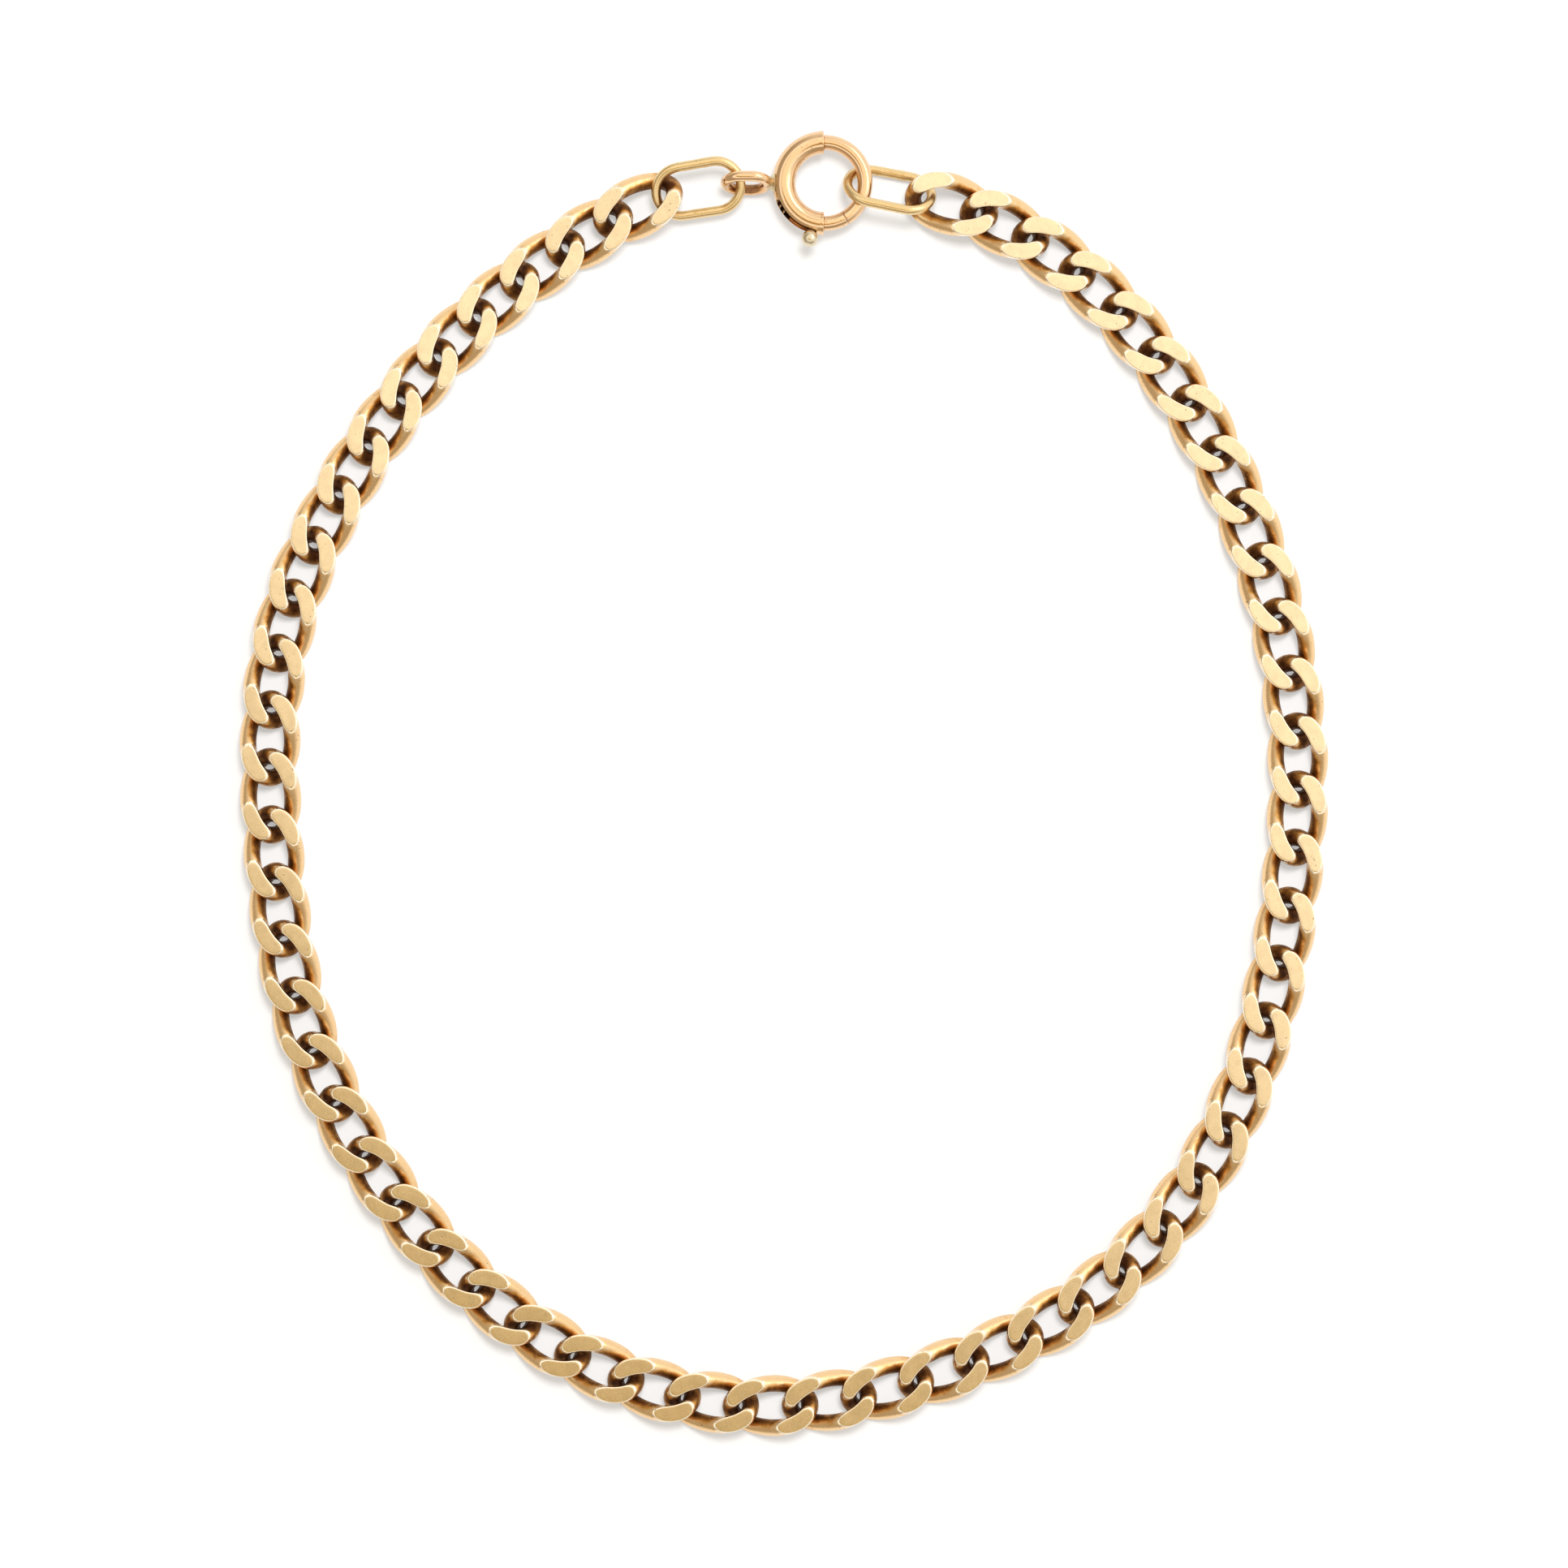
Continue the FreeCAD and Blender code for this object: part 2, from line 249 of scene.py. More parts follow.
def rounded_ends(length, radius, rounding, stations):
    """Distances along a rod and its radius there, with both ends rounded over."""
    corner = np.linspace(0, math.pi / 2, 7)
    middle = np.linspace(rounding, length - rounding, stations)[1:-1]
    start = rounding * quarter_round(7)
    places = np.concatenate([start, middle, length - start[::-1]])
    end_radii = radius - rounding * (1 - np.sin(corner))
    radii = np.concatenate([end_radii, np.full(len(middle), radius), end_radii[::-1]])
    return places, radii


def make_piece(name, points, faces, body, nodes, slot, material, place, **shades):
    """A smooth mesh from millimetre points. It rides on its body, unless it has none yet."""
    mesh = bpy.data.meshes.new(name)
    mesh.from_pydata((np.asarray(points) * MM).tolist(), [], faces)
    mesh.update()
    for key, values in shades.items():
        layer = mesh.attributes.new(key, "FLOAT", "POINT")
        layer.data.foreach_set("value", np.asarray(values, np.float32))
    layer = mesh.attributes.new("place", "FLOAT_VECTOR", "POINT")
    layer.data.foreach_set("vector", np.asarray(place, np.float32).ravel())
    mesh.polygons.foreach_set("use_smooth", [True] * len(mesh.polygons))
    mesh.materials.append(material)
    piece = bpy.data.objects.new(name, mesh)
    bpy.context.scene.collection.objects.link(piece)
    if body:
        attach(piece, body)
    if nodes:
        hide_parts(*nodes)
    return piece


# ---------------------------------------------------------------- where CAD pieces lie


def islands(node):
    """Corner points, in millimetres, of the triangles of each separate solid in a CAD node."""
    mesh = frame["nodes"][node].data
    mesh.calc_loop_triangles()
    corners = np.empty(len(mesh.loop_triangles) * 3, np.int32)
    mesh.loop_triangles.foreach_get("vertices", corners)
    points = np.empty(len(mesh.vertices) * 3, np.float32)
    mesh.vertices.foreach_get("co", points)
    points = points.reshape(-1, 3).astype(float) / MM
    _, same = np.unique(np.round(points, 3), axis=0, return_inverse=True)
    same = same.ravel()
    triangles = same[corners].reshape(-1, 3)
    label, before = np.arange(same.max() + 1), None
    while before is None or (label != before).any():
        before = label.copy()
        lowest = label[triangles].min(axis=1)
        for corner in range(3):
            np.minimum.at(label, triangles[:, corner], lowest)
        label = label[label]
    owner = label[triangles[:, 0]]
    corner_points = points[corners].reshape(-1, 3, 3)
    return [corner_points[owner == solid] for solid in np.unique(owner)]


def lie(triangles):
    """Centre and axes of a link: columns are its length, width and thickness directions."""
    a, b, c = triangles[:, 0], triangles[:, 1], triangles[:, 2]
    area = np.linalg.norm(np.cross(b - a, c - a), axis=1)[:, None]
    middle = (a + b + c) / 3
    centre = (middle * area).sum(0) / area.sum()
    spread = ((a - centre) * area).T @ (a - centre)
    spread += ((b - centre) * area).T @ (b - centre)
    spread += ((c - centre) * area).T @ (c - centre)
    spread += 9 * ((middle - centre) * area).T @ (middle - centre)
    _, directions = np.linalg.eigh(spread)
    length, thickness = directions[:, 2], directions[:, 0]
    if thickness[2] < 0:
        thickness = -thickness
    width = np.cross(thickness, length)
    if width @ -centre > 0:
        length, width = -length, -width
    return centre, np.stack([length, width, thickness], axis=1)


def body_with(node):
    return frame["nodes"][node]["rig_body"]


# ---------------------------------------------------------------- curb links


def curb_sections():
    """The fixed part of a curb link's mesh: path, cross directions and angles round the wire."""
    turn = np.linspace(0, 2 * math.pi, CURB_STATIONS, endpoint=False)
    centres = np.stack(
        [
            CURB_HALF_LENGTH * np.cos(turn),
            CURB_HALF_WIDTH * np.sin(turn),
            -CURB_LIFT * np.sin(2 * turn),
        ],
        axis=1,
    )
    side, above = path_frames(centres, True)
    height = centres[:, 2]
    reach = CURB_WIRE_R * above[:, 2]
    fine = np.linspace(-math.pi / 2, 3 * math.pi / 2, 721)      # every half degree
    angles = np.empty((CURB_STATIONS, CURB_ROUND))
    for i in range(CURB_STATIONS):
        density = np.ones(len(fine))
        for sign, middle in ((1, math.pi / 2), (-1, -math.pi / 2), (-1, 3 * math.pi / 2)):
            cut = (CURB_HALF_THICKNESS - sign * height[i]) / reach[i]
            in_metal = float(smooth(-0.1, 0.12, 1 - cut))
            half = math.acos(min(1.0, max(-1.0, cut)))
            for edge in (middle - half, middle + half):
                density += CROWDING * in_metal * bell(fine - edge, CROWDING_REACH)
        share = np.concatenate([[0], np.cumsum((density[1:] + density[:-1]) / 2)])
        wanted = np.linspace(0, share[-1], CURB_ROUND, endpoint=False)
        angles[i] = np.interp(wanted, share, fine)
    return turn, centres, side, above, angles


CURB_PARTS = curb_sections()
CURB_FACES = grid_faces(CURB_STATIONS, CURB_ROUND, True, True)


def milled(height, level, slope):
    """Heights cut off at a level, with the edge rounded over by wear."""
    over = height - level
    drop = FACET_EDGE * slope
    return height - 0.5 * (over + np.sqrt(over * over + drop * drop))


def curb_link(rng):
    """Points of one worn link, and how much of each is facet, rubbed edge with its painted
    highlight line, and patina with painted shade.
    """
    turn, centres, side, above, angles = CURB_PARTS
    seam = rng.choice([0.0, math.pi]) + rng.normal(0, SEAM_WANDER)
    away = (turn - seam + math.pi) % (2 * math.pi) - math.pi
    from_seam = away * CURB_HALF_WIDTH
    radii = CURB_WIRE_R * (1 + WIRE_WAVE * np.sin(turn * 2 + rng.uniform(0, 6)))
    radii += SOLDER_LUMP * bell(from_seam, SOLDER_WIDTH)
    radii -= SEAM_DEPTH * bell(from_seam, SEAM_WIDTH)
    out, up = np.cos(angles)[..., None], np.sin(angles)[..., None]
    outward = out * side[:, None, :] + up * above[:, None, :]
    points = (centres[:, None, :] + radii[:, None, None] * outward).reshape(-1, 3)
    outward = outward.reshape(-1, 3)
    for _ in range(DENTS):
        spot = points[rng.integers(len(points))]
        size = rng.uniform(*DENT_SIZE)
        gap = np.linalg.norm(points - spot, axis=1)
        points = points - outward * (rng.uniform(*DENT_DEPTH) * bell(gap, size))[:, None]

    # The mill's cut, a little out of level on each side
    tilt = rng.normal(0, MILL_TILT, 4)
    level = CURB_HALF_THICKNESS + points[:, :2] @ tilt[:2]
    level_under = CURB_HALF_THICKNESS + points[:, :2] @ tilt[2:]
    uncut = points[:, 2].copy()
    rise = np.abs(outward[:, 2])
    slope = np.sqrt(1 - np.minimum(rise * rise, 1)) / np.maximum(rise, 0.1)
    slope = np.clip(slope, GENTLEST_SLOPE, STEEPEST_SLOPE)
    points[:, 2] = -milled(-milled(uncut, level, slope), level_under, slope)

    inside = (np.abs(uncut) - CURB_HALF_THICKNESS) / slope
    facet = smooth(-0.01, 0.05, inside)
    # A painted highlight along each facet's rounded edge, partly a rubbed line of wear.
    edge = bell(inside, PAINTED_HIGHLIGHT_HALF_WIDTH)
    # Patina and painted shade: patina all over, patina and painted shade on the inner side, painted
    # shade on the low sides and the ends, less on the rubbed top.
    patina = (
        PATINA_ALL
        + PATINA_AND_SHADE_INNER * smooth(-0.6, 0.75, -np.cos(angles).ravel())
        + PAINTED_SHADE_LOW * smooth(0.4, -1.3, points[:, 2])
        + PAINTED_SHADE_ENDS * smooth(2.9, 4.3, np.abs(points[:, 0]))
        + PATINA_RUBBED * smooth(0.9, 1.5, points[:, 2])
    )
    return points, facet, edge, np.clip(patina, 0, 1) * (1 - facet) * (1 - edge)


def lay_curb_links(material):
    rng = np.random.default_rng(16)
    names = sorted(n for n in frame["nodes"] if n.startswith("curb_link"))
    for node in names:
        points, faces, facets, edges, patinas, places = [], [], [], [], [], []
        for number, triangles in enumerate(islands(node)):
            centre, axes = lie(triangles)
            local, facet, edge, patina = curb_link(rng)
            start = number * len(local)
            faces += [tuple(start + v for v in face) for face in CURB_FACES]
            points.append(local @ axes.T + centre)
            places.append(local + rng.uniform(0, 100, 3))
            facets.append(facet)
            edges.append(edge)
            patinas.append(patina)
        make_piece(
            node + "_finish",
            np.concatenate(points),
            faces,
            body_with(node),
            [node],
            "link_gold",
            material,
            place=np.concatenate(places),
            facet=np.concatenate(facets),
            edge=np.concatenate(edges),
            patina=np.concatenate(patinas),
        )


# ---------------------------------------------------------------- oval end links


def oval_path(half_length, half_width, stations):
    """Centres round an oval of wire: straight rails and round ends, a touch softened."""
    straight = half_length - half_width
    rail = 2 * straight
    bend = math.pi * half_width
    points = []
    for place in np.linspace(0, 2 * (rail + bend), stations, endpoint=False):
        half = 1 if place < rail + bend else -1
        along = place % (rail + bend)
        if along < rail:
            points.append((half * (along - straight), -half * half_width, 0))
        else:
            turn = (along - rail) / half_width - math.pi / 2
            x = straight + half_width * math.cos(turn)
            points.append((half * x, half * half_width * math.sin(turn), 0))
    soft = np.array(points, float)
    for _ in range(6):
        soft = (np.roll(soft, 1, axis=0) + 2 * soft + np.roll(soft, -1, axis=0)) / 4
    return soft


def lay_long_links(material):
    rng = np.random.default_rng(5)
    for node in ("long_link_left", "long_link_right"):
        centre, axes = lie(islands(node)[0])
        path = oval_path(LONG_HALF_LENGTH, LONG_HALF_WIDTH, 220)
        path[:, 1] *= 1 + LONG_BOW * np.sin(path[:, 0] / LONG_HALF_LENGTH * 2)
        other_rail = path[:, 1] < 0
        from_seam = np.abs(path[:, 0] - LONG_SEAM_X) + other_rail * 2 * LONG_HALF_LENGTH
        radii = LONG_WIRE_R + LONG_SOLDER_LUMP * bell(from_seam, LONG_SOLDER_WIDTH)
        radii -= LONG_SEAM_DEPTH * bell(from_seam, LONG_SEAM_WIDTH)
        local, faces, outer = tube(path, radii, 32, True)
        # Darker on the inner side, and more so on the inner side of the ends.
        end = smooth(3.4, 4.8, np.abs(local[:, 0]))
        inner = smooth(-0.1, 0.9, -outer)
        patina = np.clip(0.1 + 0.35 * inner + 0.35 * end * inner, 0, 1)
        make_piece(
            node + "_finish",
            local @ axes.T + centre,
            faces,
            body_with(node),
            [node],
            "wire_gold",
            material,
            place=local + rng.uniform(0, 100, 3),
            facet=np.zeros(len(local)),
            patina=patina,
        )


# ---------------------------------------------------------------- bolt ring


def ring_centre():
    slide = next(j for j in frame["joints"] if j["name"] == "clasp_tongue_slide")
    return np.array(slide["pos_m"]) / MM


def round_the_ring(degrees):
    angle = np.radians(degrees)
    return RING_MEAN_R * np.stack([np.cos(angle), np.sin(angle), np.zeros_like(angle)], axis=-1)


def ring_rod(start, end, radius, rounding, stations):
    """Points, faces and outwardness of round stock bent to the ring's radius."""
    length = math.radians(end - start) * RING_MEAN_R
    places, radii = rounded_ends(length, radius, rounding, stations)
    centres = round_the_ring(start + np.degrees(places / RING_MEAN_R))
    return tube(centres, radii, 40, False)


def clasp_piece(name, points, faces, body, nodes, slot, material, patina, rng):
    make_piece(
        name,
        points + ring_centre(),
        faces,
        body,
        nodes,
        slot,
        material,
        place=points + rng.uniform(0, 100, 3),
        facet=np.zeros(len(points)),
        patina=patina,
    )


def casing_stations():
    """Angles along the casing for its mesh, and the half width of its slot at each, in radians."""
    slot_half = (PIN_R + SLOT_PLAY) / CASING_R
    end_room = math.degrees((PIN_R + SLOT_PLAY) / RING_MEAN_R)
    low, high = KNOB_ANGLE - BOLT_TRAVEL - end_room, KNOB_ANGLE + end_room
    rim = math.degrees(END_ROUNDING / RING_MEAN_R)
    degrees = np.concatenate(
        [
            CASING_START + rim * quarter_round(6),
            np.linspace(CASING_START + rim, low, 44)[1:-1],
            low + end_room * quarter_round(9),
            np.linspace(low + end_room, high - end_room, 40)[1:-1],
            high - end_room * quarter_round(9)[::-1],
            np.linspace(high, CASING_END - rim, 8)[1:-1],
            CASING_END - rim * quarter_round(6)[::-1],
        ]
    )
    room = np.clip(np.minimum(degrees - low, high - degrees) / end_room, 0, 1)
    return degrees, slot_half * np.sqrt(1 - (1 - room) ** 2)


def casing_mesh():
    """A bent tube with a round-ended slot for the thumb knob's pin, open at both mouths."""
    degrees, half = casing_stations()
    from_mouth = np.radians(np.minimum(degrees - CASING_START, CASING_END - degrees)) * RING_MEAN_R
    short = 1 - np.clip(from_mouth / END_ROUNDING, 0, 1)
    rounding = END_ROUNDING * (1 - np.sqrt(1 - short**2))
    bead = MOUTH_BEAD * smooth(MOUTH_BEAD_WIDTH, MOUTH_BEAD_WIDTH - 0.08, from_mouth)
    outside = CASING_R - rounding + bead
    share = np.linspace(0, 1, CASING_AROUND)
    points = []
    for radius in (outside, np.full(len(degrees), BORE_R)):
        scale = CASING_R / radius.mean()
        for k, angle in enumerate(np.radians(degrees)):
            gap = half[k] * scale
            turn = math.radians(PIN_ELEVATION) + gap + (2 * math.pi - 2 * gap) * share
            reach = RING_MEAN_R + radius[k] * np.cos(turn)
            x, y = reach * math.cos(angle), reach * math.sin(angle)
            points.append(np.stack([x, y, radius[k] * np.sin(turn)], axis=1))
    return np.concatenate(points), casing_faces(half)


def casing_faces(half):
    """The casing's outer and inner skins, its two mouths and the walls of its slot."""
    count, around = len(half), CASING_AROUND
    faces = grid_faces(count, around, False, False)
    inside = count * around
    faces += [tuple(inside + v for v in reversed(face)) for face in faces]
    for row, order in ((0, 1), (count - 1, -1)):
        for j in range(around - 1):
            a = row * around + j
            quad = (a, a + 1, inside + a + 1, inside + a)
            faces.append(quad[::order])
    for k in range(count - 1):
        if half[k] + half[k + 1] > 0:
            a, b = k * around, (k + 1) * around
            faces.append((a, inside + a, inside + b, b))
            a, b = a + around - 1, b + around - 1
            faces.append((a, b, inside + b, inside + a))
    return faces


def weld(piece):
    """Joins corners that lie on one another and faces everything outward."""
    work = bmesh.new()
    work.from_mesh(piece.data)
    bmesh.ops.remove_doubles(work, verts=work.verts, dist=1e-8)
    bmesh.ops.recalc_face_normals(work, faces=work.faces)
    work.to_mesh(piece.data)
    work.free()


def sharpen(piece, degrees):
    """Keeps edges sharper than this as crisp edges in the shading."""
    limit = math.radians(degrees)
    work = bmesh.new()
    work.from_mesh(piece.data)
    for edge in work.edges:
        edge.smooth = not (len(edge.link_faces) == 2 and edge.calc_face_angle(0) > limit)
    work.to_mesh(piece.data)
    work.free()


def lay_clasp(gold, pale, solder, steel):
    rng = np.random.default_rng(12)
    fixed, moving = body_with("clasp_casing"), body_with("clasp_bolt")
    lay_casing(fixed, gold, rng)
    lay_ring_wire(fixed, gold, rng)
    lay_bolt(moving, gold, rng)
    lay_knob(moving, pale, rng)
    lay_spring(steel, rng)
    lay_eyelet(fixed, gold, rng)
    lay_solder(fixed, solder, rng)


def lay_casing(body, gold, rng):
    points, faces = casing_mesh()
    inner = smooth(0.2, 1.25, RING_MEAN_R - np.hypot(points[:, 0], points[:, 1]))
    clasp_piece(
        "clasp_casing_finish", points, faces, body, ["clasp_casing"], "clasp_gold", gold,
        0.3 * inner, rng,
    )
    casing = bpy.data.objects["clasp_casing_finish"]
    weld(casing)
    sharpen(casing, 40)


def ring_angles(points):
    return np.degrees(np.arctan2(points[:, 1], points[:, 0]))


def lay_ring_wire(body, gold, rng):
    """The fixed half of the ring, from its spigot in the casing to the bolt's tip."""
    seam_angle = SEAM_ANGLE - 360
    points, faces, outer = ring_rod(
        seam_angle, CASING_START + SPIGOT_ANGLE, RING_WIRE_R, END_ROUNDING, 150
    )
    angle = ring_angles(points)
    mouth = smooth(3.5, 0.0, np.abs(angle - CASING_START))
    seam = smooth(3.0, 0.0, np.abs(angle - seam_angle))
    patina = np.clip(0.3 * smooth(0.0, 1.0, -outer) + 0.6 * mouth + 0.4 * seam, 0, 1)
    clasp_piece(
        "clasp_ring_wire_finish", points, faces, body, ["clasp_ring_wire"], "clasp_gold", gold,
        patina, rng,
    )


def lay_bolt(body, gold, rng):
    """The sliding half of the ring, most of it hidden in the casing."""
    points, faces, outer = ring_rod(
        BOLT_INNER_END, SEAM_ANGLE - SEAM_GAP_ANGLE, RING_WIRE_R, END_ROUNDING, 90
    )
    angle = ring_angles(points) % 360
    mouth = smooth(3.5, 0.0, np.abs(angle - CASING_END))
    seam = smooth(2.5, 0.0, np.abs(angle - SEAM_ANGLE))
    hidden = smooth(CASING_END + 1, CASING_END - 3, angle)
    patina = np.clip(0.2 * smooth(0, 1, -outer) + 0.6 * mouth + 0.4 * seam + hidden, 0, 1)
    clasp_piece(
        "clasp_bolt_finish", points, faces, body, ["clasp_bolt"], "clasp_gold", gold,
        patina, rng,
    )


def lay_knob(body, material, rng):
    """Thumb ball on its pin, turned as one: a ball, a short neck and the pin."""
    spin = math.radians(KNOB_ANGLE)
    lean = math.radians(PIN_ELEVATION)
    from_centre = np.array([math.cos(spin), math.sin(spin), 0.0])
    out = from_centre * math.cos(lean) + UP * math.sin(lean)
    sweep = np.linspace(math.pi - math.asin(KNOB_NECK_R / KNOB_R), 0.02, 40)
    ball = KNOB_REACH + KNOB_R * np.cos(sweep)
    crown = KNOB_CROWN * smooth(0.5, 0.0, sweep)
    pin_steps = [0.0, 0.6, 1.2, ball[0] - 0.12]
    places = np.concatenate([pin_steps, ball - crown])
    radii = np.concatenate([[PIN_R, PIN_R, PIN_R, PIN_R + 0.03], KNOB_R * np.sin(sweep)])
    centres = RING_MEAN_R * from_centre + places[:, None] * out
    points, faces, _ = tube(centres, radii, 48, False)
    shade = smooth(ball[0] + 0.5, ball[0] - 0.1, np.repeat(places, 48))
    clasp_piece(
        "clasp_thumb_knob_finish", points, faces, body, ["clasp_thumb_knob"], "pale_gold",
        material, 0.7 * shade, rng,
    )


def lay_spring(material, rng):
    """A coil along the ring's curve, from inside the casing to the bolt's inner end. It rides on no
    body.
    """
    turn = np.linspace(0, SPRING_TURNS, SPRING_TURNS * SPRING_STEPS)
    degrees = SPRING_START + (SPRING_END - SPRING_START) * turn / SPRING_TURNS
    angle = np.radians(degrees)
    reach = RING_MEAN_R + SPRING_COIL_R * np.cos(2 * math.pi * turn)
    height = SPRING_COIL_R * np.sin(2 * math.pi * turn)
    centres = np.stack([reach * np.cos(angle), reach * np.sin(angle), height], axis=1)
    along = unit(np.gradient(centres, axis=0))
    side = unit(centres - round_the_ring(degrees))
    side = unit(side - (side * along).sum(1)[:, None] * along)
    above = np.cross(along, side)
    points = round_skin(centres, SPRING_WIRE_R, side, above, SPRING_AROUND)
    faces = grid_faces(len(centres), SPRING_AROUND, False, True)
    faces += end_caps(len(centres), SPRING_AROUND)
    clasp_piece(
        "clasp_spring_finish", points, faces, None, ["clasp_spring"], "spring_steel", material,
        np.full(len(points), 0.4), rng,
    )
    spring = bpy.data.objects["clasp_spring_finish"]
    weld(spring)
    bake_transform(spring)


def lay_eyelet(body, gold, rng):
    """A small wire oval behind the casing, turned almost upright."""
    path = oval_path(EYELET_HALF_LENGTH, EYELET_HALF_WIDTH, 160)
    local, faces, outer = tube(path, EYELET_WIRE_R, 36, True)
    lean = math.radians(90 - EYELET_LEAN)
    turned = np.stack(
        [
            local[:, 0] - EYELET_CENTRE_R,
            local[:, 1] * math.cos(lean) - local[:, 2] * math.sin(lean),
            local[:, 1] * math.sin(lean) + local[:, 2] * math.cos(lean),
        ],
        axis=1,
    )
    # Darker on the inner side and towards the bottom.
    patina = 0.1 + 0.6 * smooth(0, 0.9, -outer) + 0.5 * smooth(0, -2, turned[:, 2])
    clasp_piece(
        "clasp_eyelet_finish", turned, faces, body, ["clasp_eyelet"], "clasp_gold", gold,
        np.clip(patina, 0, 1), rng,
    )


def lay_solder(body, solder, rng):
    """A short flared neck from the casing to the eyelet, with a lumpy skin."""
    places = np.linspace(0, 1, 26)
    start = RING_MEAN_R + CASING_R - SOLDER_SINK
    length = EYELET_CENTRE_R - EYELET_HALF_LENGTH - start + 0.25
    flare = SOLDER_TIP_R + SOLDER_FLARE * (1 - places) ** 2.4
    flare[-3:] *= [0.9, 0.7, 0.35]
    centres = np.stack([-(start + places * length), 0 * places, 0 * places], axis=1)
    points, faces, _ = tube(centres, flare, 40, False)
    x, y, z = points.T
    lumps = SOLDER_SKIN * np.sin(y * 5.1 + 1) * np.sin(z * 4.3) * np.sin(x * 6.0)
    middle = np.repeat(centres, 40, axis=0)
    points = points + unit(points - middle + 1e-9) * lumps[:, None]
    clasp_piece(
        "clasp_solder_finish", points, faces, body, [], "clasp_gold", solder,
        np.full(len(points), 0.35), rng,
    )


# ---------------------------------------------------------------- materials


def node(tree, kind, inputs=None, **settings):
    made = tree.nodes.new(kind)
    for key, value in settings.items():
        setattr(made, key, value)
    for key, value in (inputs or {}).items():
        if isinstance(value, bpy.types.NodeSocket):
            tree.links.new(value, made.inputs[key])
        else:
            made.inputs[key].default_value = value
    return made


def maths(tree, operation, a, b):
    return node(tree, "ShaderNodeMath", {0: a, 1: b}, operation=operation).outputs[0]


def plus(tree, a, b):
    return maths(tree, "ADD", a, b)


def minus(tree, a, b):
    return maths(tree, "SUBTRACT", a, b)


def times(tree, a, b):
    return maths(tree, "MULTIPLY", a, b)


def between(tree, value, low, high):
    """0 up to low, 1 from high on, and an eased step from one to the other."""
    ends = {"Value": value, "From Min": low, "From Max": high}
    return node(tree, "ShaderNodeMapRange", ends, interpolation_type="SMOOTHSTEP").outputs[0]


def mix_colour(tree, share, a, b):
    return node(tree, "ShaderNodeMix", {0: share, 6: a, 7: b}, data_type="RGBA").outputs[2]


def attribute(tree, name, output="Fac"):
    return node(tree, "ShaderNodeAttribute", attribute_name=name).outputs[output]


def noise(tree, place, scale, detail, roughness=0.5, stretch=None, turn=0.0):
    if stretch is not None:
        mapping = {"Vector": place, "Rotation": (0, 0, turn), "Scale": stretch}
        place = node(tree, "ShaderNodeMapping", mapping).outputs[0]
    settings = {"Vector": place, "Scale": scale, "Detail": detail, "Roughness": roughness}
    return node(tree, "ShaderNodeTexNoise", settings).outputs[0]


def rgba(red, green, blue):
    return (red, green, blue, 1.0)


# How the marks on the metal change its colour, roughness and height
GRAIN_TO_GRIME = 0.35
MOTTLE_TO_GRIME = 0.9
WARM_AT = 0.42                 # place of the warm colour between clean and dark
FACET_DULL = 0.9               # colour of a facet's duller patches, as a share of its own
PAINTED_EDGE_HIGHLIGHT = 0.85             # how much of the metal's colour the painted highlight line, partly a rubbed line, covers
PIT_COLOUR = 0.55
GRIME_ROUGHNESS = 0.24
GRAIN_ROUGHNESS = 0.16
SCRATCH_ROUGHNESS = 0.06
EDGE_ROUGHNESS = -0.08
LEAST_ROUGHNESS = 0.06
GRAIN_HEIGHT = 0.35
SCRATCH_DEPTH = 0.22
PIT_DEPTH = 1.1
FACET_CALM = 0.7               # how much of the grain and scratches milling took off
BUMP_DEPTH = 0.012             # millimetres for a height of one


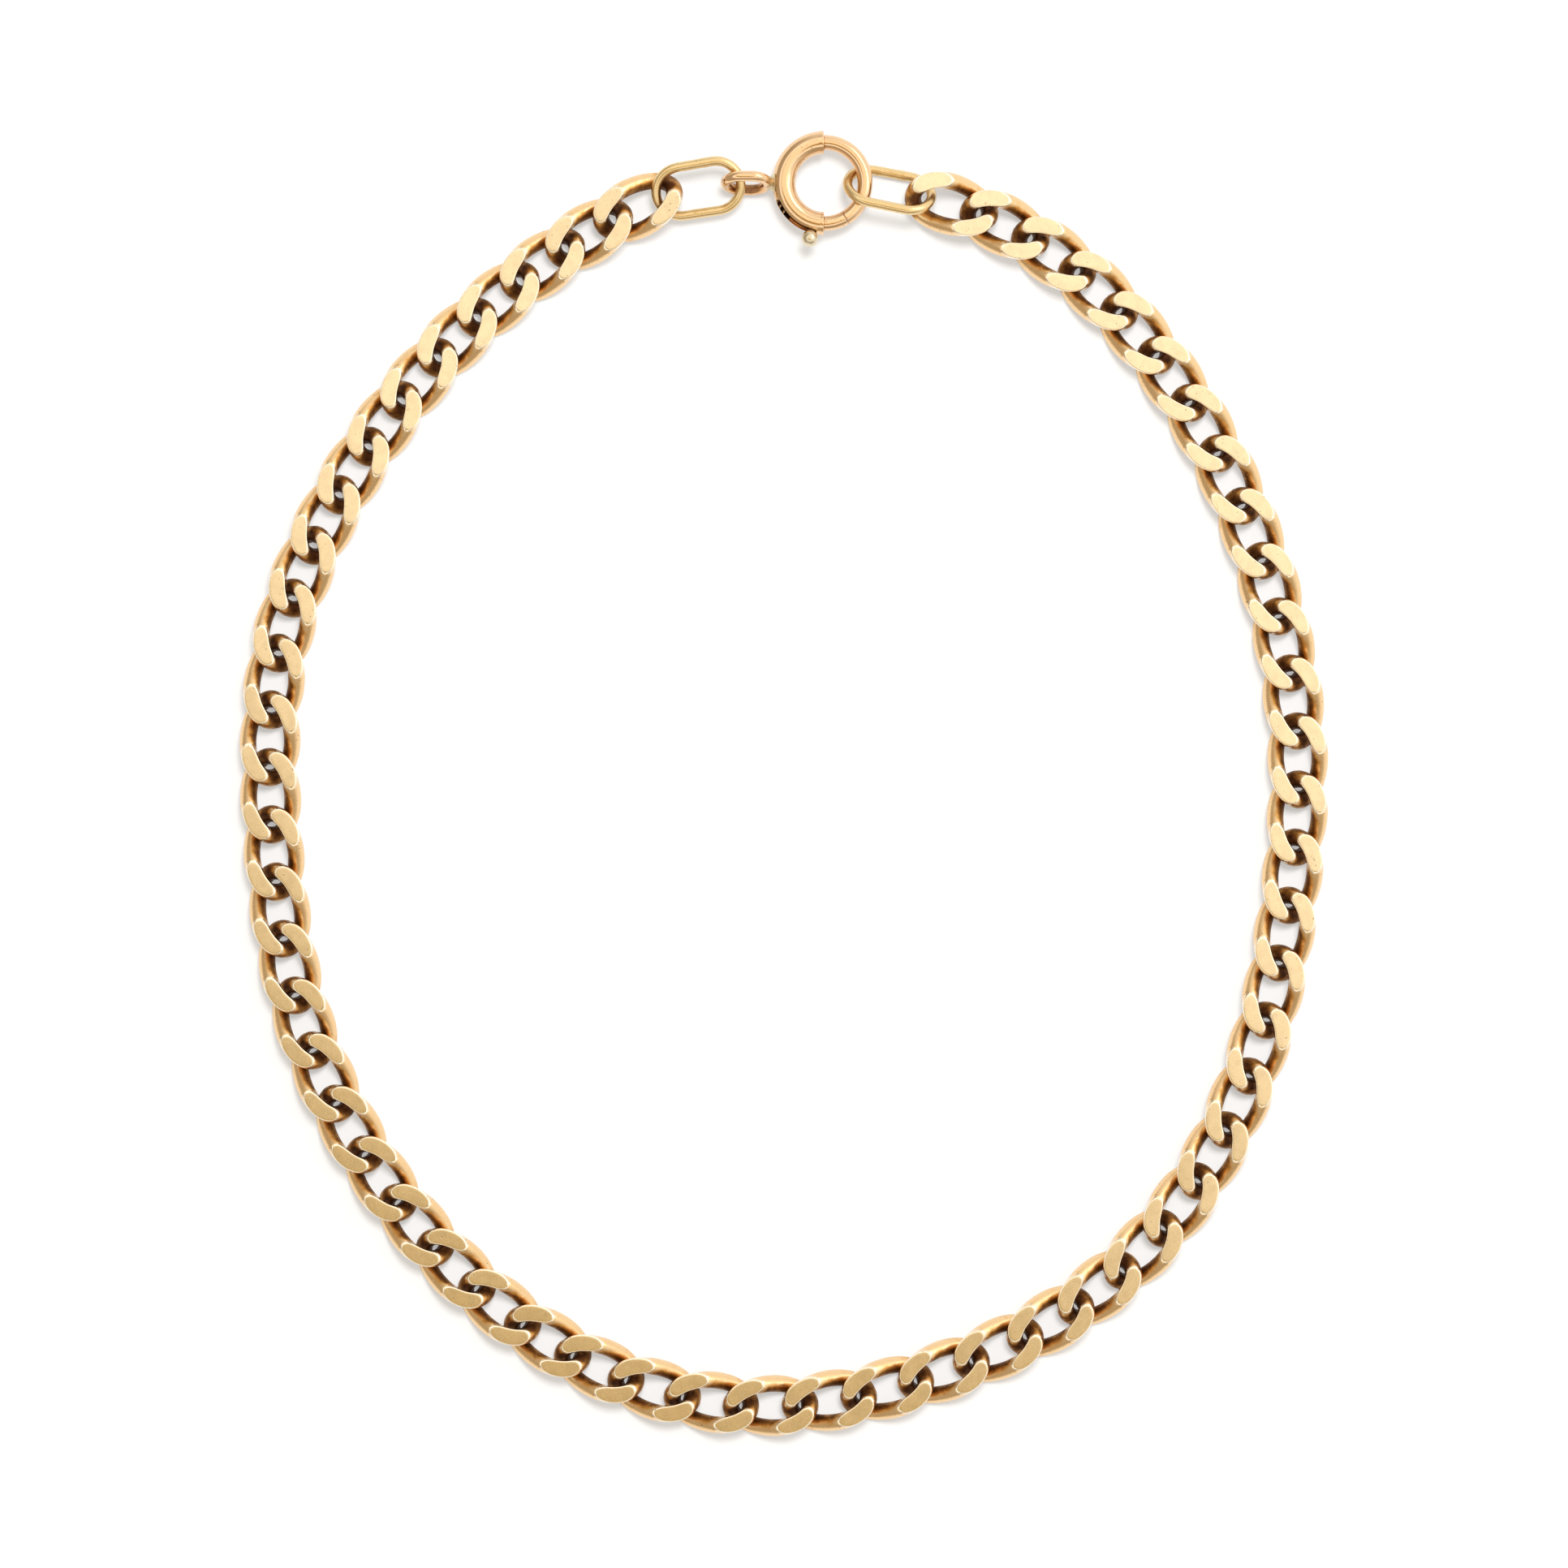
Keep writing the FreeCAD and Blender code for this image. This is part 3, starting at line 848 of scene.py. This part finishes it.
def metal(name, clean, warm, dark, facet_tone, rough, facet_rough, grime_and_shade_gain=1.0):
    """Worn metal: clean where rubbed, with a painted highlight line along facet edges, brown in the
    hollows with patina and painted shade, milled facets a little satin.
    """
    material = bpy.data.materials.new(name)
    material.use_nodes = True
    tree = material.node_tree
    shader = tree.nodes["Principled BSDF"]
    shader.inputs["Metallic"].default_value = 1.0
    place = attribute(tree, "place", "Vector")
    facet = attribute(tree, "facet")
    patina = attribute(tree, "patina")
    edge = attribute(tree, "edge")

    mottle = noise(tree, place, 0.9, 4.0, 0.6)
    grain = noise(tree, place, 9.0, 3.0, 0.6)
    streaks = noise(tree, place, 1.0, 3.0, 0.6, stretch=(0.9, 15.0, 4.0), turn=0.6)
    cross_streaks = noise(tree, place, 1.0, 2.0, 0.5, stretch=(17.0, 1.1, 4.0), turn=0.35)
    long_marks = between(tree, streaks, 0.6, 0.72)
    cross_marks = between(tree, cross_streaks, 0.64, 0.74)
    scratch = maths(tree, "MAXIMUM", long_marks, cross_marks)
    pits = between(tree, noise(tree, place, 3.1, 1.0, 0.4), 0.73, 0.78)

    drift = times(tree, minus(tree, mottle, 0.5), MOTTLE_TO_GRIME)
    held = plus(tree, times(tree, patina, grime_and_shade_gain), drift)
    fine = times(tree, minus(tree, grain, 0.5), GRAIN_TO_GRIME)
    # Brown of patina and painted shade, stirred by mottling and grain, and none on the facets.
    grime_and_shade = between(tree, plus(tree, held, fine), 0.12, 1.0)
    grime_and_shade = times(tree, grime_and_shade, minus(tree, 1.0, facet))

    ramp = node(tree, "ShaderNodeValToRGB", {"Fac": grime_and_shade})
    ramp.color_ramp.elements[0].color = clean
    ramp.color_ramp.elements[0].position = 0.0
    ramp.color_ramp.elements[1].color = dark
    ramp.color_ramp.elements[1].position = 1.0
    ramp.color_ramp.elements.new(WARM_AT).color = warm
    facet_dull = rgba(*(c * FACET_DULL for c in facet_tone[:3]))
    milled_tone = mix_colour(tree, between(tree, mottle, 0.35, 0.7), facet_tone, facet_dull)
    tone = mix_colour(tree, facet, ramp.outputs[0], milled_tone)
    # Painted highlight: a near white line along each facet's rounded edge, partly a rubbed line of
    # wear.
    tone = mix_colour(tree, times(tree, edge, PAINTED_EDGE_HIGHLIGHT), tone, rgba(1.0, 0.96, 0.86))
    tone = mix_colour(tree, times(tree, pits, PIT_COLOUR), tone, dark)
    tree.links.new(tone, shader.inputs["Base Color"])

    roughness = plus(tree, rough, times(tree, grime_and_shade, GRIME_ROUGHNESS))
    roughness = plus(tree, roughness, times(tree, facet, facet_rough - rough))
    roughness = plus(tree, roughness, times(tree, minus(tree, grain, 0.4), GRAIN_ROUGHNESS))
    roughness = plus(tree, roughness, times(tree, scratch, SCRATCH_ROUGHNESS))
    roughness = plus(tree, roughness, times(tree, edge, EDGE_ROUGHNESS))
    roughness = maths(tree, "MAXIMUM", roughness, LEAST_ROUGHNESS)
    tree.links.new(roughness, shader.inputs["Roughness"])

    height = times(tree, grain, GRAIN_HEIGHT)
    height = minus(tree, height, times(tree, scratch, SCRATCH_DEPTH))
    height = times(tree, height, minus(tree, 1.0, times(tree, facet, FACET_CALM)))
    height = minus(tree, height, times(tree, pits, PIT_DEPTH))
    depth = {"Height": height, "Strength": 0.5, "Distance": BUMP_DEPTH * MM}
    bump = node(tree, "ShaderNodeBump", depth)
    tree.links.new(bump.outputs[0], shader.inputs["Normal"])
    return material


def floor_material():
    material = bpy.data.materials.new("white_table")
    material.use_nodes = True
    tree = material.node_tree
    shader = tree.nodes["Principled BSDF"]
    place = node(tree, "ShaderNodeTexCoord").outputs["Object"]
    speck = noise(tree, place, 400.0, 2.0)
    tone = mix_colour(tree, speck, rgba(0.335, 0.335, 0.34), rgba(0.345, 0.345, 0.35))
    tree.links.new(tone, shader.inputs["Base Color"])
    shader.inputs["Roughness"].default_value = 0.9
    shader.inputs["Specular IOR Level"].default_value = 0.1
    shader.inputs["Emission Color"].default_value = rgba(1, 1, 1)
    shader.inputs["Emission Strength"].default_value = 0.41
    return material


# ---------------------------------------------------------------- studio


# What surrounds the chain, as light and as reflection: walls that are warm and dim on the left
# and bright on the right, a pale cove above them, and dull gold straight overhead
WALL_LEFT = rgba(0.50, 0.42, 0.31)
WALL_RIGHT = rgba(1.15, 1.10, 1.00)
COVE = rgba(1.35, 1.30, 1.20)
OVERHEAD = rgba(0.50, 0.335, 0.105)
TOWARDS_RIGHT = (0.85, 0.53, 0.0)

TABLE_HALF = 1.5
TABLE_DROP = 0.00003           # under the chain, so that they don't share a plane


def area_light(name, place, aim, size, power, spin=0.0):
    """A rectangular lamp that faces aim, turned about that line by spin in degrees."""
    data = bpy.data.lights.new(name, "AREA")
    data.shape = "RECTANGLE"
    data.size, data.size_y = size
    data.energy = power
    lamp = bpy.data.objects.new(name, data)
    lamp.location = place
    lamp.rotation_mode = "QUATERNION"
    turned = Quaternion((0, 0, 1), math.radians(spin))
    lamp.rotation_quaternion = (Vector(aim) - Vector(place)).to_track_quat("-Z", "Y") @ turned
    bpy.context.scene.collection.objects.link(lamp)
    return lamp


def lay_table():
    mesh = bpy.data.meshes.new("table")
    corners = [(x, y, 0) for x, y in ((-1, -1), (1, -1), (1, 1), (-1, 1))]
    mesh.from_pydata((np.array(corners) * TABLE_HALF).tolist(), [], [(0, 1, 2, 3)])
    table = bpy.data.objects.new("table", mesh)
    table.location.z = cad_low.z - TABLE_DROP
    mesh.materials.append(floor_material())
    bpy.context.scene.collection.objects.link(table)


def lay_surroundings():
    world = bpy.data.worlds.new("tent")
    bpy.context.scene.world = world
    world.use_nodes = True
    tree = world.node_tree
    background = tree.nodes["Background"]
    ray = node(tree, "ShaderNodeTexCoord").outputs["Generated"]
    height = node(tree, "ShaderNodeSeparateXYZ", {0: ray}).outputs["Z"]
    right = node(
        tree, "ShaderNodeVectorMath", {0: ray, 1: TOWARDS_RIGHT}, operation="DOT_PRODUCT"
    ).outputs["Value"]
    walls = mix_colour(tree, between(tree, right, -0.2, 0.8), WALL_LEFT, WALL_RIGHT)
    tone = mix_colour(tree, between(tree, height, 0.62, 0.74), walls, COVE)
    tone = mix_colour(tree, between(tree, height, 0.83, 0.93), tone, OVERHEAD)
    tree.links.new(tone, background.inputs["Color"])
    background.inputs["Strength"].default_value = 1.0


def lay_lamps():
    area_light("overhead_box", (0.09, 0.15, 0.80), (0.09, 0.15, 0.0), (0.8, 0.44), 0.95, -24.0)
    area_light("right_strip", (0.62, 0.35, 0.62), (0.0, 0.0, 0.0), (0.8, 0.3), 1.2)
    key = area_light("key", (0.08, 0.26, 0.80), (0.0, 0.0, 0.0), (0.25, 0.25), 8.5)
    key.visible_glossy = False


CAMERA_HEIGHT = 0.70           # above the top of a curb link
VIEW_WIDTH = 0.17813           # of the picture, at that height
SENSOR_WIDTH = 36.0


def camera():
    data = bpy.data.cameras.new("camera")
    eye = bpy.data.objects.new("camera", data)
    data.sensor_width = SENSOR_WIDTH
    data.lens = SENSOR_WIDTH * CAMERA_HEIGHT / VIEW_WIDTH
    data.clip_start, data.clip_end = 0.01, 10.0
    eye.location = (0.0, 0.0, CAMERA_HEIGHT + CURB_HALF_THICKNESS * MM)
    bpy.context.scene.collection.objects.link(eye)
    bpy.context.scene.camera = eye


link_gold = metal(
    "worn_link_gold",
    clean=rgba(0.86, 0.61, 0.34),
    warm=rgba(0.70, 0.36, 0.10),
    dark=rgba(0.14, 0.055, 0.018),
    facet_tone=rgba(0.93, 0.79, 0.56),
    rough=0.24,
    facet_rough=0.25,
)
wire_gold = metal(
    "drawn_wire_gold",
    clean=rgba(0.80, 0.61, 0.33),
    warm=rgba(0.66, 0.42, 0.16),
    dark=rgba(0.22, 0.11, 0.04),
    facet_tone=rgba(0.93, 0.73, 0.44),
    rough=0.24,
    facet_rough=0.24,
    grime_and_shade_gain=0.8,
)
clasp_gold = metal(
    "polished_clasp_gold",
    clean=rgba(0.83, 0.58, 0.355),
    warm=rgba(0.70, 0.39, 0.18),
    dark=rgba(0.20, 0.10, 0.05),
    facet_tone=rgba(0.95, 0.70, 0.44),
    rough=0.12,
    facet_rough=0.12,
    grime_and_shade_gain=0.8,
)
pale_gold = metal(
    "pale_knob_gold",
    clean=rgba(0.72, 0.64, 0.48),
    warm=rgba(0.58, 0.46, 0.30),
    dark=rgba(0.25, 0.17, 0.10),
    facet_tone=rgba(0.84, 0.78, 0.60),
    rough=0.24,
    facet_rough=0.24,
    grime_and_shade_gain=0.8,
)
solder_metal = metal(
    "grey_solder",
    clean=rgba(0.74, 0.63, 0.42),
    warm=rgba(0.55, 0.44, 0.26),
    dark=rgba(0.20, 0.14, 0.08),
    facet_tone=rgba(0.74, 0.63, 0.42),
    rough=0.30,
    facet_rough=0.30,
)
spring_metal = metal(
    "spring_steel",
    clean=rgba(0.56, 0.56, 0.57),
    warm=rgba(0.42, 0.39, 0.35),
    dark=rgba(0.10, 0.08, 0.07),
    facet_tone=rgba(0.5, 0.5, 0.5),
    rough=0.28,
    facet_rough=0.28,
)

lay_curb_links(link_gold)
lay_long_links(wire_gold)
lay_clasp(clasp_gold, pale_gold, solder_metal, spring_metal)
lay_table()
lay_surroundings()
lay_lamps()
camera()
bpy.context.scene.view_settings.view_transform = "Standard"
